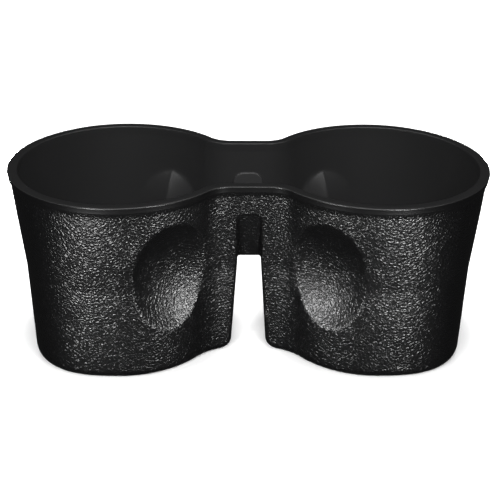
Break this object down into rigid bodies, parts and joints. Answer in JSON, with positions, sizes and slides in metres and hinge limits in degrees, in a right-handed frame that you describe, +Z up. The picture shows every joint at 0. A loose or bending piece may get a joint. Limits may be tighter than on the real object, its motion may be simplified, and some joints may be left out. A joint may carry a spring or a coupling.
{
  "type": "car cup holder insert",
  "caption": "Soft black twin cup holder insert for a car console, one moulding with grained outside, grip bumps in both wells and a slot under the bridge.",
  "frame": {"origin": "Middle of the base, halfway between the two wells, on the plane the insert stands on.", "axes": "+X runs along the length from the left well to the right one, -Y faces the viewer of the picture, +Z is up through the open tops."},
  "size_m": [0.205, 0.099, 0.0825],
  "materials": {
    "body": "satin, leather grain outside"
  },
  "bodies": {
    "root": {"cup_insert": "body"}
  },
  "joints": []
}
